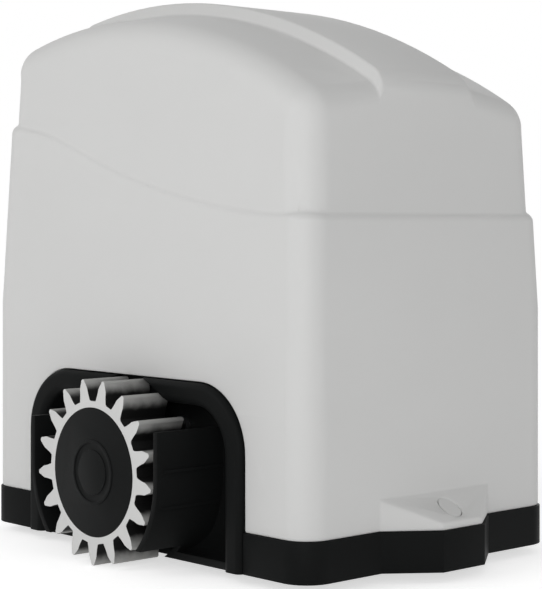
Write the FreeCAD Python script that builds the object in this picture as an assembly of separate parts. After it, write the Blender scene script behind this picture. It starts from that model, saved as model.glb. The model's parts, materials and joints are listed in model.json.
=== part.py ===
import FreeCAD, Part
import math, os
from FreeCAD import Vector as V

# Sliding gate motor: a black plinth bolted to a concrete pad, a white moulded hood with an arched
# roof, and a rack pinion that turns in a U-shaped guard at the front.  A vertical motor stands on a
# worm gearbox, and its worm drives the wheel on the pinion's shaft.  The control board, transformer
# and run capacitor stand beside them.
# Frame: the origin is the middle of the plinth's underside, X runs along the gate, the pinion looks
# towards -Y, and Z is up.  All sizes are in millimetres.
os.makedirs("parts", exist_ok=True)

# ---------- driving dimensions ----------
PLINTH_W, PLINTH_D, PLINTH_H = 208.5, 143.7, 16.0
PLINTH_CORNER = 12.2
FLOOR_T = 6.0            # plinth floor
RIM_T = 4.5              # plinth rim
EAR_OUT = 14.6           # how far each fixing ear stands out
EAR_ROOT, EAR_TIP = 62.4, 24.0

HOOD_SET_IN = 0.75       # the hood's wall stands this far inside the plinth's edge
HOOD_WALL = 3.0
DRAFT_FROM = 99.0        # the walls are upright up to here
DRAFT = 0.04             # then lean in this much for each mm of height
SHOULDER_IN = 1.5        # the upper hood is set in by this much
SHOULDER_R = 4.0         # rounding of the lower hood's top edge, cut short by the set-in

CROWN_X, CROWN_R, CROWN_TOP = -41.6, 270.0, 232.3      # raised band over the middle
RISER_TOP = 226.7                                       # foot of the step up to the band
BROW_X, BROW_R, BROW_TOP = -24.2, 220.0, 218.4         # arch of the front panel
BROW_BACK_DROP = 2.4     # the back panel's arch is this much lower
BAND_FRONT, BAND_BACK = 24.3, 25.4   # the raised band's edges, before and behind the middle
RISER_RUN, RISER_RUN_BACK = 2.0, 4.5  # the steps lean back by this much
ROOF_EDGE_R = 13.0       # rounding around the front and back panels
ROOF_LEFT_R, ROOF_RIGHT_R = 16.0, 15.0
BAND_LEFT_R, BAND_RIGHT_R = 8.0, 12.5

ARCH_X = -1.2            # middle of the pinion's opening
ARCH_HALF, ARCH_TOP, ARCH_R = 70.7, 72.05, 27.0
ARCH_GAP = 0.35          # gap between the hood and the guard moulding
BEZEL_W = 10.0           # width of the black arch
BEZEL_PROUD = 1.8        # it stands this far in front of the plinth
NICHE_DEPTH = 14.2       # from the plinth's front to the niche's back wall
NICHE_WALL = 2.0
GUARD_IN, GUARD_WALL = 40.0, 2.4
GUARD_REACH = 19.5       # the guard stands this far in front of the plinth
GUARD_TOP, GUARD_CUT = 53.5, 5.75
SILL_T, COVE_R = 3.0, 10.0   # floor of the niche, and its round corner with the back wall

PINION_X, PINION_Z = -1.1, 33.8
MODULE, TEETH = 4.0, 17
TOOTH_TIP, TOOTH_MID, TOOTH_ROOT = 1.2, 2.55, 3.5     # half widths of a tooth
PINION_OUT, PINION_ROOT = 37.9, 29.0
PINION_REACH, PINION_W = 19.0, 22.8
CAP_R, CAP_T = 26.2, 2.5
PINION_RECESS = 10.0
SHAFT_R = 9.0

WHEEL_TEETH, WHEEL_MODULE = 20, 2.0
WHEEL_Y, WHEEL_W = -12.0, 8.0
WORM_PITCH_R = 8.0
WORM_HALF = 15.0         # half the length of the worm's thread
RUN_CLEAR = 0.05         # radial clearance of a journal in its bearing

MOTOR_R, AIR_GAP = 41.0, 0.5
STACK_DEPTH = 18.5       # the stator's sheets, from their outside to the bore
BELL_WALL = 7.4          # wall of the motor's two end bells
WINDING_GAP = 1.1        # between the windings and the bells
MOTOR_FOOT = 70.0        # top of the gearbox
STACK_LOW, STACK_HIGH = 92.0, 150.0
MOTOR_TOP = 172.0

ANCHOR_X, ANCHOR_Y, ANCHOR_R = 170.0, 90.0, 5.5
CABLE_X, CABLE_IN, CABLE_R = -25.0, 26.85, 14.0     # CABLE_IN is from the plinth's back edge

# ---------- worked out from them ----------
FRONT = -PLINTH_D / 2
SILL_FRONT = FRONT + 1.0
NICHE_BACK = FRONT + NICHE_DEPTH
GUARD_FRONT, PINION_FRONT = FRONT - GUARD_REACH, FRONT - PINION_REACH
CABLE_Y = PLINTH_D / 2 - CABLE_IN
BORE_R = MOTOR_R - STACK_DEPTH
HALF_W = PLINTH_W / 2
HOOD_X, HOOD_Y = HALF_W - HOOD_SET_IN, PLINTH_D / 2 - HOOD_SET_IN
WHEEL_R = WHEEL_MODULE * WHEEL_TEETH / 2
WORM_X = PINION_X + WHEEL_R + WORM_PITCH_R
WORM_Y = WHEEL_Y
PINION_BACK = PINION_FRONT + PINION_W
HOUSING_FRONT = NICHE_BACK + NICHE_WALL
HOUSING_BACK = 14.0
COVER_PLATE_T = 5.0
X, Y, Z = V(1, 0, 0), V(0, 1, 0), V(0, 0, 1)


def save(name, *solids):
    body = Part.makeCompound(list(solids)) if len(solids) > 1 else solids[0]
    body.exportStep("parts/%s.step" % name)


def box(x0, x1, y0, y1, z0, z1):
    return Part.makeBox(x1 - x0, y1 - y0, z1 - z0, V(x0, y0, z0))


def post(r, x, y, z0, z1):
    return Part.makeCylinder(r, z1 - z0, V(x, y, z0), Z)


def rod(r, x, z, y0, y1):
    return Part.makeCylinder(r, y1 - y0, V(x, y0, z), Y)


def peg(r, y, z, x0, x1):
    return Part.makeCylinder(r, x1 - x0, V(x0, y, z), X)


def tube(outer, inner):
    return outer.cut(inner)


def prism(points, sweep):
    return Part.Face(Part.makePolygon(points + [points[0]])).extrude(sweep)


def rounded_rectangle(hx, hy, r, z):
    """Closed outline of a rectangle with rounded corners, flat at height z."""
    k = r * (1 - math.sqrt(0.5))
    edges = []
    for (sx, sy) in ((1, 1), (-1, 1), (-1, -1), (1, -1)):
        a = V(sx * hx, sy * (hy - r), z)
        b = V(sx * (hx - r), sy * hy, z)
        if sx * sy < 0:
            a, b = b, a
        mid = V(sx * (hx - k), sy * (hy - k), z)
        edges.append((a, mid, b))
    out = []
    for i, (a, mid, b) in enumerate(edges):
        out.append(Part.Arc(a, mid, b).toShape())
        out.append(Part.makeLine(b, edges[(i + 1) % 4][0]))
    return Part.Wire(out)


def slab(hx, hy, r, z0, z1):
    return Part.Face(rounded_rectangle(hx, hy, r, z0)).extrude(V(0, 0, z1 - z0))


def fuse_all(first, others):
    for other in others:
        first = first.fuse(other)
    return first.removeSplitter()


def cut_all(body, others):
    for other in others:
        body = body.cut(other)
    return body


def hex_head(axis_point, axis, across, height):
    """Hexagonal prism with its foot at axis_point, along axis."""
    r = across / math.sqrt(3)
    side = X if abs(axis.x) < 0.5 else Y
    other = axis.cross(side)
    ring = [axis_point + side * (r * math.cos(math.radians(60 * i)))
            + other * (r * math.sin(math.radians(60 * i))) for i in range(6)]
    return prism(ring, axis * height)


# ---------- hood ----------
def wall_x(hx, z):
    return hx - DRAFT * max(0.0, z - DRAFT_FROM)


def roof_outline(y, centre_x, arc_r, top, hx, left_r, right_r, floor_z):
    """Cross section of the upper hood: leaning sides, rounded shoulders and a long arch."""
    slope = math.sqrt(1 + DRAFT ** 2)
    cz = top - arc_r

    def corner(side, r):
        low, high = floor_z, top
        for _ in range(60):
            z = (low + high) / 2
            x = side * (hx - DRAFT * (z - DRAFT_FROM) - r * slope)
            if math.hypot(x - centre_x, z - cz) < arc_r - r:
                low = z
            else:
                high = z
        reach = math.hypot(x - centre_x, z - cz)
        ux, uz = (x - centre_x) / reach, (z - cz) / reach
        nx, nz = side / slope, DRAFT / slope
        mx, mz = ux + nx, uz + nz
        m = math.hypot(mx, mz)
        return (V(x + r * nx, y, z + r * nz), V(x + r * mx / m, y, z + r * mz / m),
                V(x + r * ux, y, z + r * uz))
    right_low, right_mid, right_high = corner(1, right_r)
    left_low, left_mid, left_high = corner(-1, left_r)
    foot_r = V(hx - DRAFT * (floor_z - DRAFT_FROM), y, floor_z)
    foot_l = V(-foot_r.x, y, floor_z)
    middle = (left_high.x + right_high.x) / 2
    crest = V(middle, y, cz + math.sqrt(arc_r ** 2 - (middle - centre_x) ** 2))
    return Part.Wire([
        Part.makeLine(foot_r, right_low), Part.Arc(right_low, right_mid, right_high).toShape(),
        Part.Arc(right_high, crest, left_high).toShape(),
        Part.Arc(left_high, left_mid, left_low).toShape(), Part.makeLine(left_low, foot_l),
        Part.makeLine(foot_l, foot_r)])


def upper_hood(inset, floor_z):
    """Solid of the hood above its shoulder, made smaller by inset all round."""
    hx, hy = HOOD_X - SHOULDER_IN - inset, HOOD_Y - SHOULDER_IN - inset
    end = HOOD_Y + 4

    def section(y, which):
        cx, r, top, left, right = {
            "brow": (BROW_X, BROW_R, BROW_TOP, ROOF_LEFT_R, ROOF_RIGHT_R),
            "back": (BROW_X, BROW_R, BROW_TOP - BROW_BACK_DROP, ROOF_LEFT_R, ROOF_RIGHT_R),
            "foot": (CROWN_X, CROWN_R, RISER_TOP, BAND_LEFT_R, BAND_RIGHT_R),
            "crown": (CROWN_X, CROWN_R, CROWN_TOP, BAND_LEFT_R, BAND_RIGHT_R)}[which]
        return roof_outline(y, cx, r - inset, top - inset, hx, left - inset, right - inset, floor_z)
    loft = Part.makeLoft([section(-end, "brow"), section(inset - BAND_FRONT - RISER_RUN, "foot"),
                          section(inset - BAND_FRONT, "crown"),
                          section(BAND_BACK - inset, "crown"),
                          section(BAND_BACK + RISER_RUN_BACK - inset, "foot"),
                          section(end, "back")], True, True)
    high = 240.0

    def face_y(z):
        return hy - DRAFT * (z - DRAFT_FROM)
    wedge = prism([V(-120, -face_y(floor_z), floor_z), V(-120, face_y(floor_z), floor_z),
                   V(-120, face_y(high), high), V(-120, -face_y(high), high)], V(240, 0, 0))
    body = loft.common(wedge)
    if body.ShapeType != "Solid":
        body = body.Solids[0]
    rim = []
    for edge in body.Edges:
        faces = body.ancestorsOfType(edge, Part.Face)
        on_panel = [f for f in faces if abs(abs(f.normalAt(0.5, 0.5).y) - 1) < 0.01
                    and f.Surface.TypeId == "Part::GeomPlane" and f.BoundBox.YLength < 12]
        if len(on_panel) == 1 and edge.BoundBox.ZMax > floor_z + 1:
            rim.append(edge)
    return body.makeFillet(ROOF_EDGE_R - inset, rim)


SHOULDER_LINE = ((-112, 180.2), (-92, 179.2), (-60, 173.1), (-31, 162.9), (-5, 154.8),
                 (36, 145.4), (75, 140.1), (95, 139.3), (112, 139.2))


def below_shoulder(drop):
    """Everything under the S-shaped shoulder line, lowered by drop."""
    curve = Part.BSplineCurve()
    curve.interpolate([V(x, -90, z - drop) for x, z in SHOULDER_LINE])
    a, b = curve.StartPoint, curve.EndPoint
    low_a, low_b = V(a.x, a.y, -5), V(b.x, b.y, -5)
    face = Part.Face(Part.Wire([curve.toShape(), Part.makeLine(b, low_b),
                                Part.makeLine(low_b, low_a), Part.makeLine(low_a, a)]))
    return face.extrude(V(0, 180, 0))


def lower_hood(inset, floor_z, drop):
    hx, hy, r = HOOD_X - inset, HOOD_Y - inset, PLINTH_CORNER - HOOD_SET_IN - inset
    high = 186.0
    lean = DRAFT * (high - DRAFT_FROM)
    upright = Part.Face(rounded_rectangle(hx, hy, r, floor_z)).extrude(
        V(0, 0, DRAFT_FROM - floor_z))
    leaning = Part.makeLoft([rounded_rectangle(hx, hy, r, DRAFT_FROM),
                             rounded_rectangle(hx - lean, hy - lean, r, high)], True, True)
    return upright.fuse(leaning).common(below_shoulder(drop))


def shoulder_slope(body):
    """Rounds the top edge of the lower hood, which the upper hood then stands on."""
    edges = []
    for edge in body.Edges:
        faces = body.ancestorsOfType(edge, Part.Face)
        tops = [f for f in faces if f.BoundBox.XLength > 180 and f.BoundBox.YLength > 120
                and f.BoundBox.ZMax > 130]
        if len(tops) == 1 and edge.BoundBox.ZMin > 120:
            edges.append(edge)
    return body.makeFillet(SHOULDER_R, edges)


def arch_outline(half, top, r, y):
    """The opening's outline: upright sides and two big rounded corners under a flat top."""
    k = r * (1 - math.sqrt(0.5))
    xl, xr = ARCH_X - half, ARCH_X + half
    low = -1.0
    return [Part.makeLine(V(xl, y, low), V(xl, y, top - r)),
            Part.Arc(V(xl, y, top - r), V(xl + k, y, top - k), V(xl + r, y, top)).toShape(),
            Part.makeLine(V(xl + r, y, top), V(xr - r, y, top)),
            Part.Arc(V(xr - r, y, top), V(xr - k, y, top - k), V(xr, y, top - r)).toShape(),
            Part.makeLine(V(xr, y, top - r), V(xr, y, low)),
            Part.makeLine(V(xr, y, low), V(xl, y, low))]


def arch_block(half, top, r, y0, y1):
    face = Part.Face(Part.Wire(arch_outline(half, top, r, y0)))
    return face.extrude(V(0, y1 - y0, 0))


def ear_plan(set_in, z0, z1, side):
    tip, root = EAR_TIP / 2 - set_in * 0.6, EAR_ROOT / 2 - set_in * 0.6
    out, inner = HALF_W + EAR_OUT - set_in, HALF_W - 3
    grow = (root - tip) / (EAR_OUT) * 3
    pts = [V(side * inner, -root - grow, z0), V(side * out, -tip, z0), V(side * out, tip, z0),
           V(side * inner, root + grow, z0)]
    return prism(pts, V(0, 0, z1 - z0))


EAR_SCREW_X = HALF_W + 6.8
PLUG_R, SCREW_SEAT, SCREW_TOP = 4.5, 17.2, 19.3
LUG_TOP, LUG_LIP = 28.3, 19.0


def make_hood():
    outer = shoulder_slope(lower_hood(0, PLINTH_H, 0)).fuse(upper_hood(0, 60.0))
    inner = lower_hood(HOOD_WALL, PLINTH_H - 2, 2.5).fuse(upper_hood(HOOD_WALL, 60.0))
    shell = outer.cut(inner)
    for side in (-1, 1):
        lug = ear_plan(HOOD_SET_IN, PLINTH_H, LUG_TOP, side)
        x_in, x_out = HOOD_X, HALF_W + EAR_OUT - HOOD_SET_IN
        above = prism([V(side * x_in, -50, LUG_TOP), V(side * (x_out + 5), -50, LUG_TOP),
                       V(side * (x_out + 5), -50, LUG_LIP - 5 * (LUG_TOP - LUG_LIP) / (x_out - x_in))],
                      V(0, 100, 0))
        lug = lug.cut(above).cut(box(-HOOD_X + 1.5, HOOD_X - 1.5, -60, 60, 0, 60))
        shell = shell.fuse(lug)
        shell = shell.cut(post(PLUG_R + 0.15, side * EAR_SCREW_X, 0, SCREW_SEAT, 40))
        shell = shell.cut(post(2.8, side * EAR_SCREW_X, 0, 0, 40))
    shell = shell.cut(arch_block(ARCH_HALF, ARCH_TOP, ARCH_R, FRONT - 5, FRONT + 8))
    ribs = [box(x - 1, x + 1, HOOD_Y - HOOD_WALL - 5, HOOD_Y - HOOD_WALL + 1, 40, 96)
            for x in (-60, 0, 60)]
    return fuse_all(shell, ribs)


save("hood", make_hood())

screws = []
for side in (-1, 1):
    x = side * EAR_SCREW_X
    head = post(4.2, x, 0, SCREW_SEAT, SCREW_TOP).cut(hex_head(V(x, 0, SCREW_TOP - 1.3), Z, 3.0, 3))
    screws.append(head.fuse(post(2.5, x, 0, 6.5, SCREW_SEAT)))
save("hood_screws", *screws)

plugs = []
fall = (LUG_TOP - LUG_LIP) / (EAR_OUT)
for side in (-1, 1):
    plug = post(PLUG_R, side * EAR_SCREW_X, 0, SCREW_TOP, 30)
    at_root = LUG_TOP - 0.35
    plug = plug.cut(prism([V(side * HOOD_X, -9, at_root), V(side * (HOOD_X + 20), -9, at_root - 20 * fall),
                           V(side * (HOOD_X + 20), -9, 40), V(side * HOOD_X, -9, 40)], V(0, 18, 0)))
    plugs.append(plug)
save("screw_plugs", *plugs)

# ---------- plinth ----------
NOTCH_LOW, NOTCH_HIGH = ARCH_X - ARCH_HALF, ARCH_X + ARCH_HALF
NOTCH_BACK = HOUSING_FRONT + 0.3
GEAR_FEET = ((-40.5, -36.0), (-40.5, 6.0), (56.0, -36.0), (56.0, 6.0))


def make_plinth():
    body = slab(HALF_W, PLINTH_D / 2, PLINTH_CORNER, 0, PLINTH_H)
    for side in (-1, 1):
        body = body.fuse(ear_plan(0, 0, PLINTH_H, side))
    body = body.removeSplitter()
    hollow = slab(HALF_W - RIM_T, PLINTH_D / 2 - RIM_T, PLINTH_CORNER - RIM_T, FLOOR_T, 20)
    keep = box(NOTCH_LOW - 4, NOTCH_HIGH + 4, FRONT, NOTCH_BACK + 4, FLOOR_T, 20)
    body = body.cut(hollow.cut(keep))
    body = body.cut(box(NOTCH_LOW, NOTCH_HIGH, FRONT - 5, NOTCH_BACK, -1, 20))
    for sx in (-1, 1):
        for sy in (-1, 1):
            x, y = sx * ANCHOR_X / 2, sy * ANCHOR_Y / 2
            body = body.fuse(post(10, x, y, FLOOR_T, FLOOR_T + 3))
            body = body.cut(post(ANCHOR_R, x, y, -1, 12))
    holes = [post(3.4, x, y, -1, 9) for x, y in GEAR_FEET]
    holes += [box(PINION_X - 30.5, PINION_X + 30.5, NOTCH_BACK - 1, NOTCH_BACK + 6, FLOOR_T + 4.6, 20)]
    holes += [post(CABLE_R, CABLE_X, CABLE_Y, -1, 9)]
    holes += [post(2.8, s * EAR_SCREW_X, 0, 5.0, 20) for s in (-1, 1)]
    return cut_all(body, holes)


save("plinth", make_plinth())
lips = [tube(post(CABLE_R + 3.5, CABLE_X, CABLE_Y, FLOOR_T, FLOOR_T + 2.5),
             post(CABLE_R - 4, CABLE_X, CABLE_Y, 0, 12)),
        tube(post(CABLE_R, CABLE_X, CABLE_Y, 0, FLOOR_T), post(CABLE_R - 4, CABLE_X, CABLE_Y, -1, 12))]
save("cable_grommet", lips[0].fuse(lips[1]).removeSplitter())

# ---------- pinion guard: black arch, niche and U-shaped guard ----------
def u_outline(r, top, y):
    a, c, b = V(PINION_X - r, y, PINION_Z), V(PINION_X, y, PINION_Z - r), V(PINION_X + r, y, PINION_Z)
    return Part.Face(Part.Wire([Part.Arc(a, c, b).toShape(), Part.makeLine(b, V(b.x, y, top)),
                                Part.makeLine(V(b.x, y, top), V(a.x, y, top)),
                                Part.makeLine(V(a.x, y, top), a)]))


def make_guard():
    half, top, r = ARCH_HALF - ARCH_GAP, ARCH_TOP - ARCH_GAP, ARCH_R - ARCH_GAP
    front = FRONT - BEZEL_PROUD
    body = arch_block(half, top, r, front, HOUSING_FRONT)
    body = body.cut(box(-200, 200, -200, 0, -10, 0))
    rim = [e for e in body.Edges if abs(e.BoundBox.YMin - front) < 1e-6
           and abs(e.BoundBox.YMax - front) < 1e-6 and e.BoundBox.ZMax > 1]
    body = body.makeFillet(2.5, rim)
    inner_r = r - BEZEL_W + 2
    niche = arch_block(half - BEZEL_W, top - BEZEL_W + 1, inner_r, front - 5, NICHE_BACK)
    body = body.cut(niche)
    lip = [e for e in body.Edges if abs(e.BoundBox.YMin - front) < 1e-6
           and abs(e.BoundBox.YMax - front) < 1e-6 and e.BoundBox.ZMax > 1
           and e.BoundBox.XMin > ARCH_X - half + 4 and e.BoundBox.XMax < ARCH_X + half - 4
           and e.BoundBox.ZMax < top - 4]
    body = body.makeFillet(3.5, lip)
    x0, x1 = ARCH_X - half + 5, ARCH_X + half - 5
    sill = box(x0, x1, SILL_FRONT, NICHE_BACK + 1, 0, SILL_T)
    corner = box(x0, x1, NICHE_BACK - COVE_R, NICHE_BACK + 1, 0, SILL_T + COVE_R)
    corner = corner.cut(peg(COVE_R, NICHE_BACK - COVE_R, SILL_T + COVE_R, -100, 100))
    body = fuse_all(body, [sill, corner])
    wall = u_outline(GUARD_IN + GUARD_WALL, GUARD_TOP, GUARD_FRONT).extrude(
        V(0, NICHE_BACK - GUARD_FRONT + 0.5, 0))
    ribs = [box(PINION_X - GUARD_IN - GUARD_WALL - 0.7, PINION_X + GUARD_IN + GUARD_WALL + 0.7,
                GUARD_FRONT + 3, NICHE_BACK + 0.5, z - 0.6, z + 0.6) for z in (38.0,)]
    ribs += [box(PINION_X - GUARD_IN - GUARD_WALL + 1.0, PINION_X + GUARD_IN + GUARD_WALL - 1.0,
                 GUARD_FRONT + 3, NICHE_BACK + 0.5, z - 0.6, z + 0.6) for z in (23.4,)]
    wall = fuse_all(wall, ribs)
    room = u_outline(GUARD_IN, GUARD_TOP + 5, GUARD_FRONT - 2).extrude(
        V(0, NICHE_BACK - GUARD_FRONT + 2, 0))
    wall = wall.cut(room).cut(box(-100, 100, -120, SILL_FRONT, -20, GUARD_CUT))
    wall = wall.cut(box(-100, 100, -120, 0, -20, 0))
    body = body.cut(u_outline(GUARD_IN, PINION_Z + 1, FRONT - 5).extrude(
        V(0, NICHE_BACK - FRONT + 5, 0)).common(box(-100, 100, -100, NICHE_BACK, -5, 20)))
    body = fuse_all(body, [wall])
    body = body.cut(rod(13.0, PINION_X, PINION_Z, -80, 0))
    body = body.cut(rod(PINION_OUT + 0.9, PINION_X, PINION_Z, -80, PINION_BACK + 0.8))
    holes = [rod(2.4, x, z, -70, 0) for x, z in GUARD_SCREWS]
    return cut_all(body, holes)


GUARD_SCREWS = [(PINION_X + sx * 18.0, PINION_Z + sz * 18.0) for sx in (-1, 1) for sz in (-1, 1)]
save("pinion_guard", make_guard())
save("guard_screws", *[rod(4.0, x, z, NICHE_BACK - 2.2, NICHE_BACK).fuse(
    rod(2.0, x, z, NICHE_BACK, NICHE_BACK + 10)) for x, z in GUARD_SCREWS])

# ---------- rack pinion ----------
def gear_outline(teeth, pitch_r, y, radii, halves, turn, tip_round):
    """Spur gear outline in the XZ plane.  radii = (root, tip) and halves = half widths of a tooth
    at its root, pitch circle and tip.  Each tooth has hollow roots and a rounded tip."""
    root_r, out_r = radii
    a_root, a_mid, a_tip = halves[0] / root_r, halves[1] / pitch_r, halves[2] / out_r

    def at(r, a):
        return V(r * math.sin(a), y, r * math.cos(a))
    edges, first, last = [], None, None
    for i in range(teeth):
        c = turn + 2 * math.pi * i / teeth
        low_r, low_turn = (root_r + pitch_r) / 2, a_root * 0.36 + a_mid * 0.64
        up_r, up_turn = (pitch_r + out_r - tip_round) / 2, (a_mid + a_tip) / 2 * 1.04
        points = {}
        for s in (-1, 1):
            points[s] = (at(root_r, c + s * a_root), at(low_r, c + s * low_turn),
                         at(pitch_r, c + s * a_mid), at(up_r, c + s * up_turn),
                         at(out_r - tip_round, c + s * a_tip))
        (r0, l0, m0, u0, t0), (r1, l1, m1, u1, t1) = points[-1], points[1]
        if last is None:
            first = r0
        else:
            edges.append(Part.makeLine(last, r0))
        edges += [Part.Arc(r0, l0, m0).toShape(), Part.Arc(m0, u0, t0).toShape(),
                  Part.Arc(t0, at(out_r, c), t1).toShape(), Part.Arc(t1, u1, m1).toShape(),
                  Part.Arc(m1, l1, r1).toShape()]
        last = r1
    edges.append(Part.makeLine(last, first))
    return Part.Wire(edges)


def make_pinion():
    outline = gear_outline(TEETH, MODULE * TEETH / 2, 0, (PINION_ROOT, PINION_OUT),
                           (TOOTH_ROOT, TOOTH_MID, TOOTH_TIP), math.pi / TEETH, 1.1)
    blank = Part.Face(outline).extrude(V(0, PINION_W, 0))
    blank.translate(V(PINION_X, PINION_FRONT, PINION_Z))
    blank = blank.cut(rod(CAP_R, PINION_X, PINION_Z, PINION_FRONT - 1, PINION_FRONT + PINION_RECESS))
    blank = blank.cut(rod(SHAFT_R, PINION_X, PINION_Z, PINION_FRONT - 1, PINION_BACK + 1))
    return blank.cut(box(PINION_X - 3, PINION_X + 3, PINION_FRONT - 1, PINION_BACK + 1,
                         PINION_Z, PINION_Z + SHAFT_R + 2.8))


save("rack_pinion", make_pinion())

cap = rod(CAP_R, PINION_X, PINION_Z, PINION_FRONT, PINION_FRONT + PINION_RECESS)
cap = cap.cut(rod(CAP_R - 3, PINION_X, PINION_Z, PINION_FRONT + CAP_T, PINION_FRONT + 20))
for outer_r, inner_r in ((13.3, 11.9), (9.15, 0.0)):
    ring = rod(outer_r, PINION_X, PINION_Z, PINION_FRONT - 0.5, PINION_FRONT + 0.2)
    if inner_r:
        ring = ring.cut(rod(inner_r, PINION_X, PINION_Z, PINION_FRONT - 2, PINION_FRONT + 2))
    cap = cap.fuse(ring)
save("pinion_cap", cap.removeSplitter())

SHAFT_FRONT = PINION_FRONT + PINION_RECESS + 0.5
SHAFT_BACK = HOUSING_BACK + COVER_PLATE_T - 1.0
seat = PINION_FRONT + PINION_RECESS
washer = rod(14, PINION_X, PINION_Z, seat - 2, seat).cut(rod(4.3, PINION_X, PINION_Z, seat - 3, 0))
save("pinion_washer", washer)
save("pinion_bolt", hex_head(V(PINION_X, seat - 2, PINION_Z), V(0, -1, 0), 13, 5.0).fuse(
    rod(3.95, PINION_X, PINION_Z, seat - 2, seat + 18)))

# ---------- output shaft, its key, bearings, seal and the worm wheel ----------
KEY_W, KEY_H = 6.0, 2.7
shaft = rod(SHAFT_R, PINION_X, PINION_Z, SHAFT_FRONT, SHAFT_BACK)
shaft = shaft.cut(rod(4.0, PINION_X, PINION_Z, SHAFT_FRONT - 1, seat + 20))
key_seats = ((SHAFT_FRONT + 1.0, PINION_BACK - 1.0), (WHEEL_Y - 8.0, WHEEL_Y + 8.0))
keys = []
for y0, y1 in key_seats:
    slot = box(PINION_X - KEY_W / 2, PINION_X + KEY_W / 2, y0, y1, PINION_Z + SHAFT_R - 3.3,
               PINION_Z + SHAFT_R + KEY_H)
    shaft = shaft.cut(slot)
    keys.append(slot)
save("output_shaft", shaft)
save("shaft_keys", *keys)


def bearing(axis, outer, inner, x, a, b0, b1):
    """Ball bearing shown as two rings and a shield; the bore runs clear on its journal."""
    make = rod if axis == "y" else post
    whole = tube(make(outer, x, a, b0, b1), make(inner, x, a, b0 - 1, b1 + 1))
    middle = (outer + inner) / 2
    w = (outer - inner) * 0.16
    for c0, c1 in ((b0 - 1, b0 + 0.6), (b1 - 0.6, b1 + 1)):
        whole = whole.cut(tube(make(middle + w, x, a, c0, c1), make(middle - w, x, a, c0 - 1, c1 + 1)))
    return whole


FRONT_BRG, BACK_BRG, OUT_BRG_R = (-50.0, -40.0), (HOUSING_BACK - 9.0, HOUSING_BACK), 17.5
journal = SHAFT_R + RUN_CLEAR
save("output_bearings", bearing("y", OUT_BRG_R, journal, PINION_X, PINION_Z, *FRONT_BRG),
     bearing("y", OUT_BRG_R, journal, PINION_X, PINION_Z, *BACK_BRG))
SEAL_R = 14.0
save("oil_seal", tube(rod(SEAL_R, PINION_X, PINION_Z, HOUSING_FRONT, FRONT_BRG[0]),
                      rod(journal, PINION_X, PINION_Z, -60, 0)))

LEAD = math.pi * WHEEL_MODULE
TWIST = WHEEL_W / 2 * (LEAD / (2 * math.pi * WORM_PITCH_R)) / WHEEL_R
THREAD_Z = (PINION_Z - WORM_HALF + LEAD / 2 - PINION_Z) % LEAD       # thread above the wheel's axis
WHEEL_PHASE = math.pi / 2 - (THREAD_Z - LEAD / 2) / WHEEL_R            # a gap faces the thread


def make_wheel():
    wires = [gear_outline(WHEEL_TEETH, WHEEL_R, y, (WHEEL_R - 2.4, WHEEL_R + 1.9),
                          (2.1, 1.25, 0.6), WHEEL_PHASE + t, 0.3)
             for y, t in ((-WHEEL_W / 2, -TWIST), (WHEEL_W / 2, TWIST))]
    body = Part.makeLoft(wires, True, True)
    body.translate(V(PINION_X, WHEEL_Y, PINION_Z))
    hub = rod(14, PINION_X, PINION_Z, WHEEL_Y - 8, WHEEL_Y + 8)
    body = body.fuse(hub).cut(rod(SHAFT_R, PINION_X, PINION_Z, -80, 80))
    return body.cut(box(PINION_X - 3, PINION_X + 3, -60, 60, PINION_Z, PINION_Z + SHAFT_R + 2.8))


save("worm_wheel", make_wheel())

# ---------- gearbox ----------
GB_X0, GB_X1 = -31.0, 47.0
CAVITY_R = WHEEL_R + WHEEL_MODULE + 1.6
CAVITY = (-24.0, HOUSING_BACK)
WORM_BRG_LOW, WORM_BRG_HIGH = (9.5, 16.5), (60.0, MOTOR_FOOT)
WORM_BRG_LOW_R, WORM_BRG_HIGH_R = 11.0, 14.0
PLATE_HOLES = ((-25, 12), (-25, 58), (12, 60), (-27, 35), (41, 12), (41, 58))


def make_housing():
    body = box(GB_X0, GB_X1, -44, HOUSING_BACK, FLOOR_T, MOTOR_FOOT)
    nose = box(PINION_X - 30, PINION_X + 30, HOUSING_FRONT, -44, FLOOR_T + 5, MOTOR_FOOT - 4)
    feet = box(-48, 64, -44, HOUSING_BACK, FLOOR_T, FLOOR_T + 6)
    webs = [box(GB_X0 - 6.5, GB_X1 + 6.5, y - 1.2, y + 1.2, FLOOR_T + 5, 46) for y in (-15.0,)]
    body = fuse_all(body, [nose, feet] + webs)
    flange = post(MOTOR_R, WORM_X, WORM_Y, MOTOR_FOOT - 6, MOTOR_FOOT)
    body = body.fuse(flange).removeSplitter()
    cuts = [rod(CAVITY_R, PINION_X, PINION_Z, CAVITY[0], CAVITY[1] + 1),
            rod(OUT_BRG_R, PINION_X, PINION_Z, FRONT_BRG[0], CAVITY[0] + 1),
            rod(SEAL_R, PINION_X, PINION_Z, HOUSING_FRONT - 1, FRONT_BRG[0] + 1),
            post(WORM_PITCH_R + WHEEL_MODULE + 1.5, WORM_X, WORM_Y, WORM_BRG_LOW[1], 66),
            post(WORM_BRG_LOW_R, WORM_X, WORM_Y, WORM_BRG_LOW[0], 30),
            post(WORM_BRG_HIGH_R, WORM_X, WORM_Y, WORM_BRG_HIGH[0], 90)]
    cuts += [post(3.4, x, y, 0, 20) for x, y in GEAR_FEET]
    cuts += [rod(2.0, x, z, HOUSING_FRONT - 1, HOUSING_FRONT + 10) for x, z in GUARD_SCREWS]
    cuts += [rod(2.0, x, z, HOUSING_BACK - 9, HOUSING_BACK + 1) for x, z in PLATE_HOLES]
    cuts += [post(2.5, *p, MOTOR_FOOT - 5.5, MOTOR_FOOT + 1) for p in tie_points()]
    return cut_all(body, cuts)


def tie_points():
    r = MOTOR_R - 3.8
    return [(WORM_X + r * math.cos(math.radians(a)), WORM_Y + r * math.sin(math.radians(a)))
            for a in (45, 135, 225, 315)]


save("gearbox_housing", make_housing())

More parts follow.
